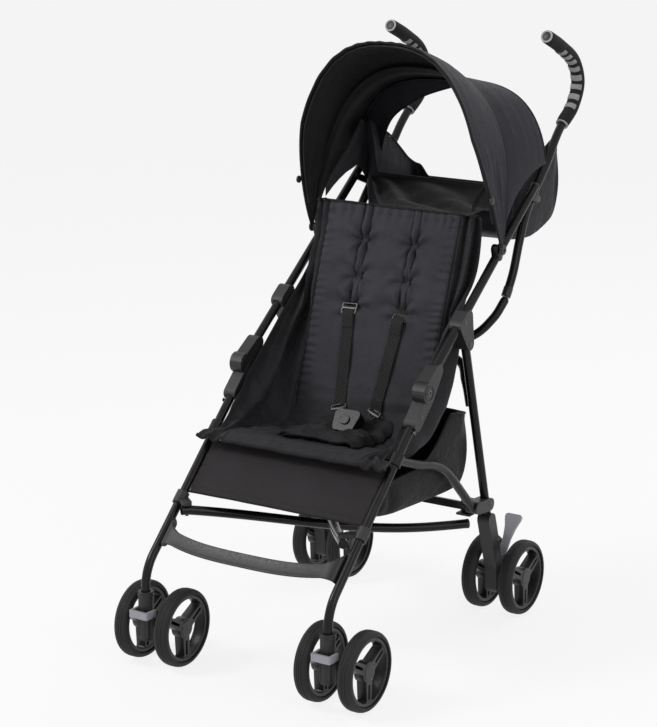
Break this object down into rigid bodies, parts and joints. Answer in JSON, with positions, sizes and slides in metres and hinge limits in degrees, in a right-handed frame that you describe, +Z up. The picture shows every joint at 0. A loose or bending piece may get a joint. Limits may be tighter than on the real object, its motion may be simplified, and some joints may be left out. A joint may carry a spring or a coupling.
{
  "type": "lightweight umbrella stroller",
  "caption": "Folding umbrella stroller with twin-wheel casters, a reclined sling seat, harness, sun canopy, rear pouch, under-seat basket and curved handles.",
  "frame": {"origin": "centre of the bounding box on the floor under the wheels", "axes": "+X to the seated child's left, +Y to the rear where the handles are, +Z up"},
  "size_m": [0.4934, 0.9377, 1.0658],
  "materials": {
    "tube_black": "satin",
    "plastic_black": "fine texture",
    "tyre_black": "matt foam",
    "lever_grey": "satin",
    "pedal_grey": "satin",
    "grip_black": "soft foam",
    "cloth_charcoal": "woven polyester",
    "cloth_black": "woven polyester",
    "webbing_black": "woven webbing"
  },
  "bodies": {
    "seat_group": {"seat_sling": "cloth_charcoal", "calf_panel": "cloth_charcoal", "canopy_rear": "cloth_charcoal", "pouch": "cloth_charcoal", "basket": "cloth_black", "footrest": "plastic_black", "harness": "webbing_black", "buckle": "plastic_black"},
    "side_frame_left": {"front_leg_left": "tube_black", "knuckle_left": "plastic_black", "upper_tube_left": "tube_black", "hub_left": "plastic_black", "rear_leg_left": "tube_black", "seat_bar_left": "tube_black", "front_bracket_left": "plastic_black", "rear_bracket_left": "plastic_black", "rear_housing_left": "plastic_black", "handle_tube_left": "tube_black", "grip_left": "grip_black"},
    "cross_bar_body_left": {"cross_bar_left": "tube_black"},
    "cross_tube_body_left": {"rear_cross_tube_left": "tube_black"},
    "brace_body_left": {"brace_link_left": "tube_black"},
    "pedal_body_left": {"brake_pedal_left": "pedal_grey"},
    "caster_left": {"front_fork_left": "plastic_black"},
    "lock_body_left": {"swivel_lock_left": "lever_grey"},
    "front_outer_wheel_left": {"front_outer_left_tyre": "tyre_black", "front_outer_left_rim": "plastic_black"},
    "front_inner_wheel_left": {"front_inner_left_tyre": "tyre_black", "front_inner_left_rim": "plastic_black"},
    "rear_outer_wheel_left": {"rear_outer_left_tyre": "tyre_black", "rear_outer_left_rim": "plastic_black"},
    "rear_inner_wheel_left": {"rear_inner_left_tyre": "tyre_black", "rear_inner_left_rim": "plastic_black"},
    "side_frame_right": {"front_leg_right": "tube_black", "knuckle_right": "plastic_black", "upper_tube_right": "tube_black", "hub_right": "plastic_black", "rear_leg_right": "tube_black", "seat_bar_right": "tube_black", "front_bracket_right": "plastic_black", "rear_bracket_right": "plastic_black", "rear_housing_right": "plastic_black", "handle_tube_right": "tube_black", "grip_right": "grip_black"},
    "cross_bar_body_right": {"cross_bar_right": "tube_black"},
    "cross_tube_body_right": {"rear_cross_tube_right": "tube_black"},
    "brace_body_right": {"brace_link_right": "tube_black"},
    "pedal_body_right": {"brake_pedal_right": "pedal_grey"},
    "caster_right": {"front_fork_right": "plastic_black"},
    "lock_body_right": {"swivel_lock_right": "lever_grey"},
    "front_outer_wheel_right": {"front_outer_right_tyre": "tyre_black", "front_outer_right_rim": "plastic_black"},
    "front_inner_wheel_right": {"front_inner_right_tyre": "tyre_black", "front_inner_right_rim": "plastic_black"},
    "rear_outer_wheel_right": {"rear_outer_right_tyre": "tyre_black", "rear_outer_right_rim": "plastic_black"},
    "rear_inner_wheel_right": {"rear_inner_right_tyre": "tyre_black", "rear_inner_right_rim": "plastic_black"},
    "visor": {"canopy_front": "cloth_charcoal"},
    "button": {"buckle_button": "plastic_black"}
  },
  "joints": [
    {"name": "fold", "type": "slide", "parent": "seat_group", "child": "side_frame_left", "axis": [-1, 0, 0], "range_m": [0, 0.1], "deforming": ["seat_sling", "calf_panel", "footrest", "canopy_rear", "canopy_front", "pouch", "basket"]},
    {"name": "cross_bar_pivot_left", "type": "hinge", "parent": "side_frame_left", "child": "cross_bar_body_left", "pos_m": [0.1625, -0.3575, 0.2725], "axis": [0, 0, -1], "range_deg": [0, 25]},
    {"name": "cross_tube_pivot_left", "type": "hinge", "parent": "side_frame_left", "child": "cross_tube_body_left", "pos_m": [0.181, 0.1585, 0.592], "axis": [0, -1, 0], "range_deg": [0, 42.5]},
    {"name": "brace_pivot_left", "type": "hinge", "parent": "side_frame_left", "child": "brace_body_left", "pos_m": [0.165, 0.055, 0.2265], "axis": [0, 1, 0], "range_deg": [0, 67.5]},
    {"name": "brake_pedal_press_left", "type": "hinge", "parent": "side_frame_left", "child": "pedal_body_left", "pos_m": [0.1895, 0.148, 0.103], "axis": [-1, 0, 0], "range_deg": [0, 25]},
    {"name": "caster_swivel_left", "type": "hinge", "parent": "side_frame_left", "child": "caster_left", "pos_m": [0.1895, -0.445, 0.1434], "axis": [0, 0, 1], "continuous": true},
    {"name": "swivel_lock_lift_left", "type": "hinge", "parent": "caster_left", "child": "lock_body_left", "pos_m": [0.1895, -0.445, 0.105], "axis": [-1, 0, 0], "range_deg": [0, 25]},
    {"name": "front_outer_spin_left", "type": "hinge", "parent": "caster_left", "child": "front_outer_wheel_left", "pos_m": [0.2327, -0.399, 0.07], "axis": [1, 0, 0], "continuous": true},
    {"name": "front_inner_spin_left", "type": "hinge", "parent": "caster_left", "child": "front_inner_wheel_left", "pos_m": [0.1463, -0.399, 0.07], "axis": [1, 0, 0], "continuous": true},
    {"name": "rear_outer_spin_left", "type": "hinge", "parent": "side_frame_left", "child": "rear_outer_wheel_left", "pos_m": [0.2285, 0.1576, 0.07], "axis": [1, 0, 0], "continuous": true},
    {"name": "rear_inner_spin_left", "type": "hinge", "parent": "side_frame_left", "child": "rear_inner_wheel_left", "pos_m": [0.1505, 0.1576, 0.07], "axis": [1, 0, 0], "continuous": true},
    {"name": "fold_right", "type": "slide", "parent": "seat_group", "child": "side_frame_right", "axis": [1, 0, 0], "range_m": [0, 0.1]},
    {"name": "cross_bar_pivot_right", "type": "hinge", "parent": "side_frame_right", "child": "cross_bar_body_right", "pos_m": [-0.1625, -0.3575, 0.2725], "axis": [0, 0, 1], "range_deg": [0, 25]},
    {"name": "cross_tube_pivot_right", "type": "hinge", "parent": "side_frame_right", "child": "cross_tube_body_right", "pos_m": [-0.181, 0.1585, 0.592], "axis": [0, 1, 0], "range_deg": [0, 42.5]},
    {"name": "brace_pivot_right", "type": "hinge", "parent": "side_frame_right", "child": "brace_body_right", "pos_m": [-0.165, 0.055, 0.2265], "axis": [0, -1, 0], "range_deg": [0, 67.5]},
    {"name": "brake_pedal_press_right", "type": "hinge", "parent": "side_frame_right", "child": "pedal_body_right", "pos_m": [-0.1895, 0.148, 0.103], "axis": [-1, 0, 0], "range_deg": [0, 25]},
    {"name": "caster_swivel_right", "type": "hinge", "parent": "side_frame_right", "child": "caster_right", "pos_m": [-0.1895, -0.445, 0.1434], "axis": [0, 0, 1], "continuous": true},
    {"name": "swivel_lock_lift_right", "type": "hinge", "parent": "caster_right", "child": "lock_body_right", "pos_m": [-0.1895, -0.445, 0.105], "axis": [-1, 0, 0], "range_deg": [0, 25]},
    {"name": "front_outer_spin_right", "type": "hinge", "parent": "caster_right", "child": "front_outer_wheel_right", "pos_m": [-0.2327, -0.399, 0.07], "axis": [1, 0, 0], "continuous": true},
    {"name": "front_inner_spin_right", "type": "hinge", "parent": "caster_right", "child": "front_inner_wheel_right", "pos_m": [-0.1463, -0.399, 0.07], "axis": [1, 0, 0], "continuous": true},
    {"name": "rear_outer_spin_right", "type": "hinge", "parent": "side_frame_right", "child": "rear_outer_wheel_right", "pos_m": [-0.2285, 0.1576, 0.07], "axis": [1, 0, 0], "continuous": true},
    {"name": "rear_inner_spin_right", "type": "hinge", "parent": "side_frame_right", "child": "rear_inner_wheel_right", "pos_m": [-0.1505, 0.1576, 0.07], "axis": [1, 0, 0], "continuous": true},
    {"name": "canopy_tilt", "type": "hinge", "parent": "seat_group", "child": "visor", "pos_m": [0, 0.108, 0.698], "axis": [-1, 0, 0], "range_deg": [0, 40]},
    {"name": "buckle_press", "type": "slide", "parent": "seat_group", "child": "button", "axis": [0, 0.7431, -0.6691], "range_m": [0, 0.0025], "stiffness_N_per_m": 800, "springref_m": -0.001}
  ],
  "couplings": [
    {"joint": "cross_bar_pivot_left", "follows": "fold", "rad_per_m": 4.323},
    {"joint": "cross_tube_pivot_left", "follows": "fold", "rad_per_m": 7.33},
    {"joint": "brace_pivot_left", "follows": "fold", "rad_per_m": 11.66},
    {"joint": "fold_right", "follows": "fold", "ratio": 1},
    {"joint": "cross_bar_pivot_right", "follows": "fold", "rad_per_m": 4.323},
    {"joint": "cross_tube_pivot_right", "follows": "fold", "rad_per_m": 7.33},
    {"joint": "brace_pivot_right", "follows": "fold", "rad_per_m": 11.66}
  ]
}
